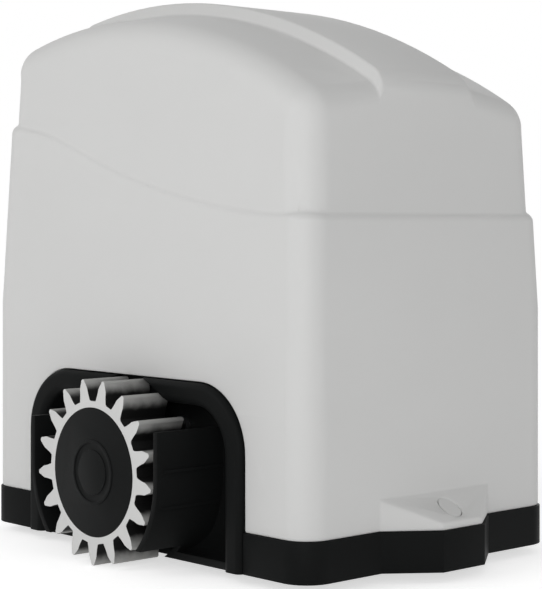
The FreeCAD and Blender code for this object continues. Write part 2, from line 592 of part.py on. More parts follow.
plate = box(GB_X0, GB_X1, HOUSING_BACK, HOUSING_BACK + COVER_PLATE_T, FLOOR_T + 1, MOTOR_FOOT - 6.4)
plate = plate.fuse(rod(CAVITY_R - 0.3, PINION_X, PINION_Z, BACK_BRG[0] + 2, HOUSING_BACK + 1))
plate = plate.cut(rod(OUT_BRG_R, PINION_X, PINION_Z, 0, HOUSING_BACK))
plate = plate.cut(rod(SHAFT_R + 1, PINION_X, PINION_Z, 0, SHAFT_BACK + 0.4))
plate = plate.cut(post(WORM_PITCH_R + 4, WORM_X, WORM_Y, 0, 90))
plate = cut_all(plate, [rod(2.2, x, z, 0, 40) for x, z in PLATE_HOLES])
save("gearbox_plate", plate)
save("gearbox_screws", *[rod(3.8, x, z, HOUSING_BACK + COVER_PLATE_T, HOUSING_BACK + COVER_PLATE_T + 3.5)
                         .cut(hex_head(V(x, HOUSING_BACK + COVER_PLATE_T + 1.5, z), Y, 3.0, 4)).fuse(
    rod(1.95, x, z, HOUSING_BACK - 8, HOUSING_BACK + COVER_PLATE_T)) for x, z in PLATE_HOLES])
save("gearbox_bolts", *[hex_head(V(x, y, FLOOR_T + 6), Z, 10, 4.0).fuse(
    post(3.0, x, y, 1.0, FLOOR_T + 6)) for x, y in GEAR_FEET])

# ---------- worm and rotor ----------
WORM_Z0, WORM_Z1 = PINION_Z - WORM_HALF, PINION_Z + WORM_HALF
WORM_ROOT = WORM_PITCH_R - 1.2 * WHEEL_MODULE
WORM_OUT = WORM_PITCH_R + WHEEL_MODULE * 0.95


def make_worm():
    core = post(WORM_ROOT, WORM_X, WORM_Y, WORM_BRG_LOW[1] + 0.5, WORM_BRG_HIGH[0] - 0.5)
    low = post(4.0, WORM_X, WORM_Y, WORM_BRG_LOW[0] + 0.5, WORM_BRG_LOW[1] + 1)
    high = post(5.0, WORM_X, WORM_Y, WORM_BRG_HIGH[0] - 1, MOTOR_TOP + 2.0)
    helix = Part.makeHelix(LEAD, WORM_Z1 - WORM_Z0, WORM_ROOT, 0)
    w_root, w_out = 1.85, 0.85
    profile = Part.makePolygon([V(WORM_ROOT - 0.4, 0, -w_root), V(WORM_OUT, 0, -w_out),
                                V(WORM_OUT, 0, w_out), V(WORM_ROOT - 0.4, 0, w_root),
                                V(WORM_ROOT - 0.4, 0, -w_root)])
    thread = Part.Wire(helix.Edges).makePipeShell([profile], True, True)
    thread.translate(V(WORM_X, WORM_Y, WORM_Z0))
    body = core.fuse(low).fuse(high)
    return fuse_all(body, [thread])


worm = make_worm()
save("worm_shaft", worm)
rotor = tube(post(BORE_R - AIR_GAP, WORM_X, WORM_Y, STACK_LOW, STACK_HIGH),
             post(5.0, WORM_X, WORM_Y, 0, 200))
for z0, z1 in ((STACK_LOW - 4, STACK_LOW), (STACK_HIGH, STACK_HIGH + 4)):
    ring = tube(post(BORE_R - AIR_GAP - 1, WORM_X, WORM_Y, z0, z1), post(12, WORM_X, WORM_Y, 0, 200))
    rotor = rotor.fuse(ring)
save("rotor_core", rotor.removeSplitter())
save("worm_bearings",
     bearing("z", WORM_BRG_LOW_R, 4.0 + RUN_CLEAR, WORM_X, WORM_Y, *WORM_BRG_LOW),
     bearing("z", WORM_BRG_HIGH_R, 5.0 + RUN_CLEAR, WORM_X, WORM_Y, *WORM_BRG_HIGH))

# ---------- motor ----------
def end_bell(z0, z1, closed_low):
    wall = tube(post(MOTOR_R, WORM_X, WORM_Y, z0, z1), post(MOTOR_R - BELL_WALL, WORM_X, WORM_Y, z0 - 1, z1 + 1))
    end = (z0, z0 + 5) if closed_low else (z1 - 5, z1)
    disc = post(MOTOR_R, WORM_X, WORM_Y, *end)
    body = wall.fuse(disc).removeSplitter()
    return cut_all(body, [post(2.6, *p, 0, 200) for p in tie_points()])


flange = end_bell(MOTOR_FOOT, STACK_LOW, True).cut(post(8, WORM_X, WORM_Y, 0, 90))
save("motor_flange", flange)
stator = tube(post(MOTOR_R, WORM_X, WORM_Y, STACK_LOW, STACK_HIGH),
              post(BORE_R, WORM_X, WORM_Y, 0, 200))
stator = cut_all(stator, [post(2.6, *p, 0, 200) for p in tie_points()])
save("motor_stator", stator)
save("stator_windings",
     *[tube(post(MOTOR_R - BELL_WALL - WINDING_GAP, WORM_X, WORM_Y, z0, z1),
            post(BORE_R + 1.5, WORM_X, WORM_Y, 0, 200))
       for z0, z1 in ((STACK_LOW - 12, STACK_LOW), (STACK_HIGH, STACK_HIGH + 12))])
cap_bell = end_bell(STACK_HIGH, MOTOR_TOP, False)
TOP_BRG, TOP_BRG_R = (MOTOR_TOP - 10.0, MOTOR_TOP - 3.0), 13.0
cap_bell = cap_bell.fuse(post(17, WORM_X, WORM_Y, TOP_BRG[0], MOTOR_TOP))
cap_bell = cap_bell.cut(post(TOP_BRG_R, WORM_X, WORM_Y, 0, TOP_BRG[1])).cut(
    post(8, WORM_X, WORM_Y, 0, 200))
save("motor_end_cap", cap_bell.removeSplitter())
save("rotor_bearing", bearing("z", TOP_BRG_R, 5.0 + RUN_CLEAR, WORM_X, WORM_Y, *TOP_BRG))
save("motor_tie_bolts", *[hex_head(V(x, y, MOTOR_TOP), Z, 8, 3.5).fuse(
    post(2.4, x, y, MOTOR_FOOT - 5, MOTOR_TOP)) for x, y in tie_points()])

# ---------- control side ----------
BR_X, BR_T = -55.0, 2.5
BR_Y0, BR_Y1, BR_Z1 = -48.0, 52.0, 168.0
BOARD_X, BOARD_T = -63.0, 1.6
BOARD_Y0, BOARD_Y1, BOARD_Z0, BOARD_Z1 = -44.0, 48.0, 62.0, 164.0
STAND = [(y, z) for y in (BOARD_Y0 + 5, BOARD_Y1 - 5) for z in (BOARD_Z0 + 5, BOARD_Z1 - 5)]
bracket = box(BR_X - BR_T, BR_X, BR_Y0, BR_Y1, FLOOR_T, BR_Z1)
bracket = bracket.fuse(box(BR_X - BR_T, BR_X + 6, BR_Y0, BR_Y0 + 20, FLOOR_T, FLOOR_T + 2.5))
bracket = bracket.fuse(box(BR_X - BR_T, BR_X + 6, 18, BR_Y1, FLOOR_T, FLOOR_T + 2.5))
for y, z in STAND:
    bracket = bracket.fuse(peg(3.2, y, z, BOARD_X + BOARD_T, BR_X - BR_T))
bracket = cut_all(bracket.removeSplitter(),
                  [peg(1.2, y, z, BOARD_X - 2, BR_X - BR_T) for y, z in STAND])
save("board_bracket", bracket)
board = box(BOARD_X, BOARD_X + BOARD_T, BOARD_Y0, BOARD_Y1, BOARD_Z0, BOARD_Z1)
board = cut_all(board, [peg(1.7, y, z, -80, -50) for y, z in STAND])
save("control_board", board)
save("board_screws", *[peg(2.8, y, z, BOARD_X - 1.8, BOARD_X).fuse(
    peg(1.15, y, z, BOARD_X, BOARD_X + 5)) for y, z in STAND])
blocks = []
for y0, count in ((-36.0, 5), (0.0, 7)):
    block = box(BOARD_X - 11, BOARD_X, y0, y0 + 5.0 * count, BOARD_Z0 + 4, BOARD_Z0 + 14)
    for i in range(count):
        y = y0 + 5.0 * i + 2.5
        block = block.cut(peg(1.7, y, BOARD_Z0 + 9, BOARD_X - 12, BOARD_X - 7))
        block = block.cut(box(BOARD_X - 8, BOARD_X - 3, y - 1.6, y + 1.6, BOARD_Z0 + 3, BOARD_Z0 + 6))
    blocks.append(block)
save("terminal_blocks", *blocks)
save("relays", *[box(BOARD_X - 15, BOARD_X, y, y + 16, BOARD_Z1 - 26, BOARD_Z1 - 12)
                 for y in (-32.0, -12.0)])
save("board_chips", box(BOARD_X - 3, BOARD_X, 8, 22, 104, 118), box(BOARD_X - 4, BOARD_X, 26, 40, 126, 150),
     box(BOARD_X - 6, BOARD_X, -34, -26, 94, 108))
save("filter_capacitors", *[peg(5.0, y, 92.0, BOARD_X - 16, BOARD_X) for y in (2.0, 14.0, 26.0)])

TR_X0, TR_X1, TR_Y0, TR_Y1 = -97.0, -61.0, -26.0, 16.0
core = box(TR_X0, TR_X1, TR_Y0, TR_Y1, FLOOR_T + 2, FLOOR_T + 44)
window = [box(TR_X0 - 1, TR_X1 + 1, y0, y1, FLOOR_T + 10, FLOOR_T + 36)
          for y0, y1 in ((TR_Y0 + 7, TR_Y0 + 15), (TR_Y1 - 15, TR_Y1 - 7))]
core = cut_all(core, window)
save("transformer_core", core)
coil = box(TR_X0 + 1, TR_X1 - 1, TR_Y0 + 7, TR_Y1 - 7, FLOOR_T + 10, FLOOR_T + 36)
coil = coil.cut(box(TR_X0, TR_X1, TR_Y0 + 15, TR_Y1 - 15, FLOOR_T + 9, FLOOR_T + 37))
save("transformer_coil", *coil.Solids)
strap = box(TR_X0 + 8, TR_X1 - 8, TR_Y0 - 8, TR_Y1 + 8, FLOOR_T, FLOOR_T + 2)
save("transformer_foot", strap)

CAN_X, CAN_Y, CAN_R = 82.0, 4.0, 15.0
can = post(CAN_R, CAN_X, CAN_Y, FLOOR_T + 1, 84)
can = can.fuse(post(CAN_R - 3, CAN_X, CAN_Y, 84, 86))
tabs = [box(CAN_X + dx - 0.4, CAN_X + dx + 0.4, CAN_Y - 3, CAN_Y + 3, 86, 93) for dx in (-6, 6)]
save("run_capacitor", fuse_all(can, tabs))
cup = tube(post(CAN_R + 2, CAN_X, CAN_Y, FLOOR_T, 26), post(CAN_R, CAN_X, CAN_Y, FLOOR_T + 1, 40))
save("capacitor_cup", cup)

NOSE_TOP = MOTOR_FOOT - 4
save("limit_sensor", box(-20, -4, -54, -45, NOSE_TOP, NOSE_TOP + 18))
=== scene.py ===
import bpy
import json
import math
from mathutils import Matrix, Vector


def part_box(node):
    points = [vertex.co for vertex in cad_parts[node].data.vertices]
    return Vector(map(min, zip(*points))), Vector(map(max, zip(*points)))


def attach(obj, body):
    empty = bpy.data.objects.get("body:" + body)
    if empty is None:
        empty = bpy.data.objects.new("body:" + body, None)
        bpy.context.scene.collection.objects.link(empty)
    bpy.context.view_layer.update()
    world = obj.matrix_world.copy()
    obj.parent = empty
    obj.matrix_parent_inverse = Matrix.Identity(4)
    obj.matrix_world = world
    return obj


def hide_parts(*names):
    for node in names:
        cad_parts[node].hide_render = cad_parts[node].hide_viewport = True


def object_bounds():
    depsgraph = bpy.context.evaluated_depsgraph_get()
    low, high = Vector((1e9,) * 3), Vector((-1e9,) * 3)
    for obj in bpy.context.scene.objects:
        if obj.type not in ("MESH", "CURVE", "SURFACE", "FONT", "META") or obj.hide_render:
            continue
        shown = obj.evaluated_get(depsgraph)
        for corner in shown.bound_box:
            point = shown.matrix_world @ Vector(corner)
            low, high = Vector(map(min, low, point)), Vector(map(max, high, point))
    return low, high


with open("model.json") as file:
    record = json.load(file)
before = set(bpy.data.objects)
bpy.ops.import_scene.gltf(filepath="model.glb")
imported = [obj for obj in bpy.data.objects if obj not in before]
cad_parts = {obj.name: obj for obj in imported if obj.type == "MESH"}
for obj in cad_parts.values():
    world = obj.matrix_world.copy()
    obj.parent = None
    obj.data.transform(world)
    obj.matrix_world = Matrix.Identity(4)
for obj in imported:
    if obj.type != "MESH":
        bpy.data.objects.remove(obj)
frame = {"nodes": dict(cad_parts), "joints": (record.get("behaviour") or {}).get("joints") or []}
cad_low, cad_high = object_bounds()
nodes = frame["nodes"]
bpy.ops.object.select_all(action="DESELECT")

# ---- Where it is looked at from ----
# The motor stands on its plinth with the pinion at the front left.  The view is level, a little
# above the middle of the hood, and far enough away for only a mild perspective.
view = bpy.data.cameras.new("view")
view.lens, view.sensor_width = 108.38, 36.0
view.shift_y = -0.1227
camera = bpy.data.objects.new("camera", view)
camera.location = (0.57932, -0.52187, 0.13523)
camera.rotation_euler = (math.radians(90), 0, math.radians(47.657))
bpy.context.scene.collection.objects.link(camera)
bpy.context.scene.camera = camera
bpy.context.scene.view_settings.view_transform = "Standard"

# ---- The hood ----
# Injection-moulded white ABS, 3 mm thick, with an arched roof, a raised band across it and a soft
# shoulder round it.  It drops over the gearbox and is held by one screw in each lug.
def hex_colour(code):
    """Linear colour of an sRGB hex value."""
    channels = [int(code[i:i + 2], 16) / 255 for i in (1, 3, 5)]
    return [c / 12.92 if c <= 0.04045 else ((c + 0.055) / 1.055) ** 2.4 for c in channels] + [1.0]


def new_material(name):
    material = bpy.data.materials.new(name)
    material.use_nodes = True
    material.node_tree.nodes.clear()
    return material


def add_node(material, kind, settings=None, links=None):
    """Adds one node, sets its properties and sockets, and links its inputs from other sockets.

    A Mix node of colours has its factor at socket 0, its colours at 6 and 7 and its result at 2."""
    node = material.node_tree.nodes.new(kind)
    for key, value in (settings or {}).items():
        if isinstance(key, int) or key in node.inputs:
            node.inputs[key].default_value = value
        else:
            setattr(node, key, value)
    for key, source in (links or {}).items():
        material.node_tree.links.new(source, node.inputs[key])
    return node


def dress(piece, material):
    piece.data.materials.clear()
    piece.data.materials.append(material)


def moulded(name, light, dark, roughness, grain_mm, depth_mm, gloss):
    """Moulded plastic: the tool's fine even grain, and a colour that drifts slightly over the piece."""
    drift_mm, uneven = 40.0, 0.05
    plastic = new_material(name)
    place = add_node(plastic, "ShaderNodeTexCoord").outputs["Object"]
    drift = add_node(plastic, "ShaderNodeTexNoise", {"Scale": 1000 / drift_mm, "Detail": 2.0},
                     {"Vector": place})
    tint = add_node(plastic, "ShaderNodeMix",
                    {"data_type": "RGBA", 6: hex_colour(light), 7: hex_colour(dark)},
                    {0: drift.outputs["Fac"]})
    grain = add_node(plastic, "ShaderNodeTexNoise", {"Scale": 1000 / grain_mm, "Detail": 3.0},
                     {"Vector": place})
    rough = add_node(plastic, "ShaderNodeMapRange",
                     {"To Min": roughness - uneven, "To Max": roughness + uneven},
                     {"Value": grain.outputs["Fac"]})
    bump = add_node(plastic, "ShaderNodeBump", {"Strength": 0.35, "Distance": depth_mm / 1000},
                    {"Height": grain.outputs["Fac"]})
    shader = add_node(plastic, "ShaderNodeBsdfPrincipled", {"Specular IOR Level": gloss, "IOR": 1.53},
                      {"Base Color": tint.outputs[2], "Roughness": rough.outputs["Result"],
                       "Normal": bump.outputs["Normal"]})
    add_node(plastic, "ShaderNodeOutputMaterial", None, {"Surface": shader.outputs["BSDF"]})
    return plastic


def merged_copy(node, body):
    """A copy of a CAD node that takes its place, with its points merged and its flat faces whole."""
    piece = bpy.data.objects.new(node + "_rounded", nodes[node].data.copy())
    bpy.context.scene.collection.objects.link(piece)
    bpy.ops.object.select_all(action="DESELECT")
    piece.select_set(True)
    bpy.context.view_layer.objects.active = piece
    bpy.ops.mesh.customdata_custom_splitnormals_clear()
    bpy.ops.object.mode_set(mode="EDIT")
    bpy.ops.mesh.select_all(action="SELECT")
    bpy.ops.mesh.remove_doubles(threshold=1e-6)
    bpy.ops.mesh.dissolve_limited(angle_limit=math.radians(0.3))
    bpy.ops.object.mode_set(mode="OBJECT")
    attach(piece, body)
    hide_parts(node)
    return piece


def round_edges(piece, edge_mm, least_angle=30, clamp=True):
    """Rounds the sharp edges as the tool or the cutter leaves them."""
    rounding = piece.modifiers.new("rounding", "BEVEL")
    rounding.width, rounding.segments = edge_mm / 1000, 2
    rounding.limit_method, rounding.angle_limit = "ANGLE", math.radians(least_angle)
    rounding.use_clamp_overlap = clamp
    bpy.ops.object.select_all(action="DESELECT")
    piece.select_set(True)
    bpy.context.view_layer.objects.active = piece
    bpy.ops.object.modifier_apply(modifier="rounding")
    bpy.ops.object.shade_smooth_by_angle(angle=math.radians(38))


# ABS from a spark-eroded tool: an even satin white, with broad soft highlights and no mirror.
white_abs = moulded("white_abs_satin", "#D5D5D4", "#D2D2D1", roughness=0.50, grain_mm=1.1,
                    depth_mm=0.03, gloss=0.25)
# The foot of the upper hood, 60 mm up, lies flush in the wall below it: the hair-thin strips that
# stand out there are taken away and the wall closed flat over them.
hood = merged_copy("hood", "hood")
ear_reach, wall_inset = 0.0146, 0.00075   # how far an ear stands out, and the wall stands in
plinth_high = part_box("plinth")[1]
wall_x, wall_y = plinth_high.x - ear_reach - wall_inset, plinth_high.y - wall_inset
foot_low, foot_high, skin = 0.0595, 0.0625, 0.0003   # where the strips lie, and how deep
bpy.ops.object.mode_set(mode="EDIT")
bpy.ops.mesh.select_mode(type="FACE")
bpy.ops.mesh.select_all(action="DESELECT")
bpy.ops.object.mode_set(mode="OBJECT")
points = hood.data.vertices
for face in hood.data.polygons:
    heights = [points[i].co.z for i in face.vertices]
    outside = abs(face.center.x) > wall_x - skin or abs(face.center.y) > wall_y - skin
    face.select = outside and min(heights) > foot_low and max(heights) < foot_high
bpy.ops.object.mode_set(mode="EDIT")
bpy.ops.mesh.delete(type="FACE")
bpy.ops.mesh.select_mode(type="EDGE")
bpy.ops.mesh.select_non_manifold(use_wire=False, use_multi_face=False, use_non_contiguous=False,
                                 use_verts=False)
bpy.ops.mesh.fill_holes(sides=0)
bpy.ops.object.mode_set(mode="OBJECT")
for point in hood.data.vertices:
    if foot_low < point.co.z < foot_high:
        point.co.x = max(-wall_x, min(wall_x, point.co.x))
        point.co.y = max(-wall_y, min(wall_y, point.co.y))
bpy.ops.object.mode_set(mode="EDIT")
bpy.ops.mesh.select_all(action="SELECT")
bpy.ops.mesh.remove_doubles(threshold=1e-5)
bpy.ops.object.mode_set(mode="OBJECT")
round_edges(hood, edge_mm=0.9, least_angle=25, clamp=False)
dress(hood, white_abs)

# ---- The hood's fasteners ----
# A zinc-plated steel socket screw in each lug goes down into the plinth's ear below it, and a plug
# of the hood's own white ABS snaps in over its head.
def metal(name, light, dark, roughness, grain_mm, depth_mm):
    """Metal whose colour, gloss and surface vary together at the size of its grain."""
    uneven = 0.08
    alloy = new_material(name)
    place = add_node(alloy, "ShaderNodeTexCoord").outputs["Object"]
    grain = add_node(alloy, "ShaderNodeTexNoise", {"Scale": 1000 / grain_mm, "Detail": 4.0},
                     {"Vector": place})
    tint = add_node(alloy, "ShaderNodeMix",
                    {"data_type": "RGBA", 6: hex_colour(light), 7: hex_colour(dark)},
                    {0: grain.outputs["Fac"]})
    rough = add_node(alloy, "ShaderNodeMapRange",
                     {"To Min": roughness - uneven, "To Max": roughness + uneven},
                     {"Value": grain.outputs["Fac"]})
    bump = add_node(alloy, "ShaderNodeBump", {"Strength": 0.4, "Distance": depth_mm / 1000},
                    {"Height": grain.outputs["Fac"]})
    shader = add_node(alloy, "ShaderNodeBsdfPrincipled", {"Metallic": 1.0},
                      {"Base Color": tint.outputs[2], "Roughness": rough.outputs["Result"],
                       "Normal": bump.outputs["Normal"]})
    add_node(alloy, "ShaderNodeOutputMaterial", None, {"Surface": shader.outputs["BSDF"]})
    return alloy


# Bright zinc plating: cool silver with a slight cloudiness where the passivation varies.
zinc = metal("zinc_plated_steel", "#CDD0D4", "#B6B8B6", roughness=0.30, grain_mm=3.0, depth_mm=0.01)
dress(nodes["hood_screws"], zinc)
dress(nodes["screw_plugs"], white_abs)

# ---- The plinth ----
# One moulding of glass-filled black polyamide, bolted to its pad through four bosses: a tray with
# a rim, a six-sided ear at each end and a notch at the front for the pinion's guard.
def soften(node, edge_mm, body, least_angle=30):
    """A rounded copy of a CAD node in its place."""
    piece = merged_copy(node, body)
    round_edges(piece, edge_mm, least_angle)
    return piece


# Glass fibre dulls the black, so it is near black with hardly any shine.
black_pa = moulded("black_glass_filled_polyamide", "#151616", "#121313", roughness=0.48,
                   grain_mm=0.9, depth_mm=0.03, gloss=0.035)
plinth = soften("plinth", 0.6, "base")
dress(plinth, black_pa)

# ---- The cable grommet ----
# A soft black rubber ring pressed into the plinth's floor, where the cables come up.
# Rubber is matt and drinks the light.
rubber = moulded("black_nitrile_rubber", "#161616", "#111111", roughness=0.85, grain_mm=1.2,
                 depth_mm=0.05, gloss=0.2)
dress(nodes["cable_grommet"], rubber)

# ---- The pinion's guard ----
# The arch, the niche and the U-shaped guard are one black polyamide moulding, screwed to the
# gearbox by four pan-head screws that the pinion hides.
guard = soften("pinion_guard", 0.4, "base")
# The niche's 3 mm floor carries on as a web behind the pinion, just clear of its back.
shaft_x, shaft_z = [joint["pos_m"][::2] for joint in frame["joints"]
                    if joint["name"] == "pinion_spin"][0]
pinion_clear, wall_clear = 0.0008, 0.0010
web_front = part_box("rack_pinion")[1].y + pinion_clear
web_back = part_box("pinion_guard")[1].y - wall_clear
web_half, web_low, web_high = 0.026, 0.0001, 0.0029
bpy.ops.object.select_all(action="DESELECT")
bpy.ops.mesh.primitive_cube_add(size=1, location=(shaft_x, (web_front + web_back) / 2,
                                                  (web_low + web_high) / 2))
web = bpy.context.active_object
web.scale = (2 * web_half, web_back - web_front, web_high - web_low)
bpy.ops.object.transform_apply(location=True, rotation=True, scale=True)
round_edges(web, 0.4)
guard.select_set(True)
bpy.context.view_layer.objects.active = guard
bpy.ops.object.join()
dress(guard, black_pa)
dress(nodes["guard_screws"], zinc)

# ---- The rack pinion ----
# Seventeen module 4 teeth, moulded in white acetal round a keyed bore, with slim rounded tips.
# Acetal is a waxy white, slightly smoother than the hood.
acetal = moulded("white_acetal", "#D2D2D1", "#CDCDCC", roughness=0.42, grain_mm=1.4,
                 depth_mm=0.015, gloss=0.35)
pinion = soften("rack_pinion", 0.25, "output", 35)
dress(pinion, acetal)
# The teeth's flanks and the gaps between them carry painted shade: near black at the roots, fading to
# light grey at the tips along a ragged edge. The front face keeps the plain acetal.
tooth_foot, tooth_end = 0.0325, 0.0376   # distances from the shaft's axis where the painted shade starts to fade, and where it ends
edge_noise_mm, ragged_mm = 5, 3               # the size of the noise that makes the painted shade's edge ragged, and how far that edge wanders
painted_shade = new_material("acetal_with_painted_shade")
place = add_node(painted_shade, "ShaderNodeTexCoord").outputs["Object"]
shaft = add_node(painted_shade, "ShaderNodeCombineXYZ", {"X": shaft_x, "Z": shaft_z})
out = add_node(painted_shade, "ShaderNodeVectorMath", {"operation": "SUBTRACT"},
               {0: place, 1: shaft.outputs[0]})
across = add_node(painted_shade, "ShaderNodeVectorMath", {"operation": "MULTIPLY", 1: (1, 0, 1)},
                  {0: out.outputs[0]})
reach = add_node(painted_shade, "ShaderNodeVectorMath", {"operation": "LENGTH"}, {0: across.outputs[0]})
edge_noise = add_node(painted_shade, "ShaderNodeTexNoise", {"Scale": 1000 / edge_noise_mm, "Detail": 3.0},
                 {"Vector": place})
uneven = add_node(painted_shade, "ShaderNodeMath", {"operation": "MULTIPLY_ADD", 1: ragged_mm / 1000,
                                              2: -ragged_mm / 2000}, {0: edge_noise.outputs["Fac"]})
shade_reach = add_node(painted_shade, "ShaderNodeMath", {"operation": "ADD"},
                {0: reach.outputs["Value"], 1: uneven.outputs[0]})
shade_fade = add_node(painted_shade, "ShaderNodeMapRange", {"interpolation_type": "SMOOTHSTEP",
                                                 "From Min": tooth_foot, "From Max": tooth_end},
                 {"Value": shade_reach.outputs[0]})
shade_tint = add_node(painted_shade, "ShaderNodeMix",
                {"data_type": "RGBA", 6: hex_colour("#161616"), 7: hex_colour("#A0A09E")},
                {0: shade_fade.outputs["Result"]})
shader = add_node(painted_shade, "ShaderNodeBsdfPrincipled", {"Roughness": 0.5, "Specular IOR Level": 0.1},
                  {"Base Color": shade_tint.outputs[2]})
add_node(painted_shade, "ShaderNodeOutputMaterial", None, {"Surface": shader.outputs["BSDF"]})
pinion.data.materials.append(painted_shade)
# Faces turned to the front keep the acetal, and every other face takes the painted shade.
for face in pinion.data.polygons:
    face.material_index = 0 if face.normal.y < -0.5 else 1

# ---- The pinion's cap ----
# A disc moulded in black acetal, with a low ring and a boss.  It snaps into the pinion's front and
# covers the zinc-plated bolt and washer that hold the pinion on its shaft.
# A polished tool leaves it smoother and a shade glossier than the guard.
cap_black = moulded("black_acetal_cap", "#151616", "#121313", roughness=0.48, grain_mm=1.2,
                    depth_mm=0.01, gloss=0.05)
cap = soften("pinion_cap", 0.2, "output", 35)
dress(cap, cap_black)
dress(nodes["pinion_washer"], zinc)
dress(nodes["pinion_bolt"], zinc)

# ---- Shafts, keys and bearings ----
# Hardened steel shafts, ground to size, run in shielded ball bearings pressed into the housing and
# the bells, and a rubber-lipped oil seal closes the front.
# Ground steel is a darker, closer silver than zinc.
ground = metal("ground_steel", "#B9BBBE", "#A3A5A8", roughness=0.24, grain_mm=1.2, depth_mm=0.004)
for name in ("output_shaft", "shaft_keys", "worm_shaft", "output_bearings", "worm_bearings",
             "rotor_bearing"):
    dress(nodes[name], ground)
dress(nodes["oil_seal"], rubber)

# ---- The worm wheel ----
# A wheel of tin bronze with twenty hobbed teeth, keyed to the output shaft inside the gearbox.
# Machined bronze is a warm gold, slightly cloudy from the oil that it runs in.
bronze = metal("machined_tin_bronze", "#C89A58", "#A97D3E", roughness=0.30, grain_mm=1.6,
               depth_mm=0.02)
dress(nodes["worm_wheel"], bronze)

# ---- The gearbox ----
# A pressure die-cast aluminium housing with a cover plate screwed to its back, bolted to the
# plinth through its four feet.
# Cast aluminium has a dull, slightly blotchy grey skin with a sandy feel.
cast_aluminium = metal("die_cast_aluminium", "#C2C4C6", "#A9ABAE", roughness=0.46, grain_mm=1.8,
                       depth_mm=0.06)
for name in ("gearbox_housing", "gearbox_plate"):
    part = soften(name, 0.5, "base")
    dress(part, cast_aluminium)
for name in ("gearbox_screws", "gearbox_bolts"):
    dress(nodes[name], zinc)

# ---- The motor ----
# Two cast aluminium end bells clamp a stack of varnished steel sheets, drawn together by four long
# tie bolts.  The rotor and the copper windings are inside.
for name in ("motor_flange", "motor_end_cap"):
    part = soften(name, 0.8, "base")
    dress(part, cast_aluminium)


def lined(name, axis, dark, light, line_mm, waver, detail, relief, relief_mm, metallic, roughness):
    """Metal in close lines at right angles to an axis, such as sheets in a stack or turns of wire."""
    wave_mm = 314.16   # a wave texture of scale 1 repeats at this distance
    lines = new_material(name)
    place = add_node(lines, "ShaderNodeTexCoord").outputs["Object"]
    wave = add_node(lines, "ShaderNodeTexWave",
                    {"bands_direction": axis, "Scale": wave_mm / line_mm, "Distortion": waver,
                     "Detail": detail}, {"Vector": place})
    tint = add_node(lines, "ShaderNodeMix",
                    {"data_type": "RGBA", 6: hex_colour(dark), 7: hex_colour(light)},
                    {0: wave.outputs["Fac"]})
    bump = add_node(lines, "ShaderNodeBump", {"Strength": relief, "Distance": relief_mm / 1000},
                    {"Height": wave.outputs["Fac"]})
    shader = add_node(lines, "ShaderNodeBsdfPrincipled", {"Metallic": metallic, "Roughness": roughness},
                      {"Base Color": tint.outputs[2], "Normal": bump.outputs["Normal"]})
    add_node(lines, "ShaderNodeOutputMaterial", None, {"Surface": shader.outputs["BSDF"]})
    return lines


def laminated(name, axis):
    """Stacked 0.5 mm sheets under varnish, drawn as 1.6 mm lines so that they show."""
    return lined(name, axis, "#34373B", "#5B5F65", line_mm=1.6, waver=0.4, detail=1.0, relief=0.6,
                 relief_mm=0.2, metallic=0.75, roughness=0.42)


# Varnish makes the grey steel edges dark and half glossy, in close level lines.
stack_z = laminated("varnished_steel_sheets_upright", "Z")
dress(nodes["motor_stator"], stack_z)
dress(nodes["rotor_core"], stack_z)
# Enamel turns copper a deep orange brown.  The wires lie side by side in slightly uneven turns,
# drawn as 1 mm lines so that they show.
copper = lined("enamelled_copper_wire", "Z", "#7C3312", "#C4652F", line_mm=1.0, waver=1.2, detail=2.0,
               relief=0.7, relief_mm=0.3, metallic=0.85, roughness=0.33)
dress(nodes["stator_windings"], copper)
dress(nodes["motor_tie_bolts"], zinc)

# ---- The control board ----
# A printed circuit board of glass fibre and epoxy, screwed to a bent steel bracket beside the motor,
# with two blocks of pluggable terminals, two relays, three filter capacitors and its chips.
# The bracket's galvanised sheet is painted mid grey: flat and slightly orange-peeled.
painted = moulded("grey_painted_sheet", "#85888B", "#7D8083", roughness=0.45, grain_mm=2.2,
                  depth_mm=0.03, gloss=0.4)
dress(soften("board_bracket", 0.4, "base"), painted)
# Green solder mask over copper tracks, which show as lighter lines 0.8 mm wide.
brick_mm = 14
mask = new_material("green_solder_mask")
place = add_node(mask, "ShaderNodeTexCoord").outputs["Object"]
apart = add_node(mask, "ShaderNodeSeparateXYZ", None, {0: place})
flat = add_node(mask, "ShaderNodeCombineXYZ", None, {0: apart.outputs[1], 1: apart.outputs[2]})
tracks = add_node(mask, "ShaderNodeTexBrick", {"Scale": 1000 / brick_mm, "Mortar Size": 0.028,
                                               "Brick Width": 0.9, "Row Height": 0.21,
                                               "Color1": hex_colour("#1C5A35"),
                                               "Color2": hex_colour("#1F6239"),
                                               "Mortar": hex_colour("#3E8A56")},
                  {"Vector": flat.outputs[0]})
shader = add_node(mask, "ShaderNodeBsdfPrincipled", {"Roughness": 0.3, "IOR": 1.5},
                  {"Base Color": tracks.outputs["Color"]})
add_node(mask, "ShaderNodeOutputMaterial", None, {"Surface": shader.outputs["BSDF"]})
dress(nodes["control_board"], mask)
dress(nodes["board_screws"], zinc)
# Polyamide terminals, polyester relay cans, epoxy chips and shrunk-on capacitor sleeves each have a
# clean colour: node, edge in mm, finish, its two tones, roughness, grain and its depth, gloss.
for name, edge_mm, *finish in (
        ("terminal_blocks", 0.2, "green_polyamide_terminal", "#35A05C", "#2F9454", 0.40, 1.5, 0.02, 0.4),
        ("relays", 0.4, "blue_polyester_relay", "#2B57B5", "#264FA8", 0.35, 1.5, 0.02, 0.5),
        ("board_chips", 0.2, "black_epoxy_chip", "#242526", "#1C1D1E", 0.50, 0.8, 0.02, 0.4),
        ("filter_capacitors", 0.6, "black_capacitor_sleeve", "#26282C", "#1E2023", 0.30, 2.5, 0.01, 0.5)):
    dress(soften(name, edge_mm, "base"), moulded(*finish))

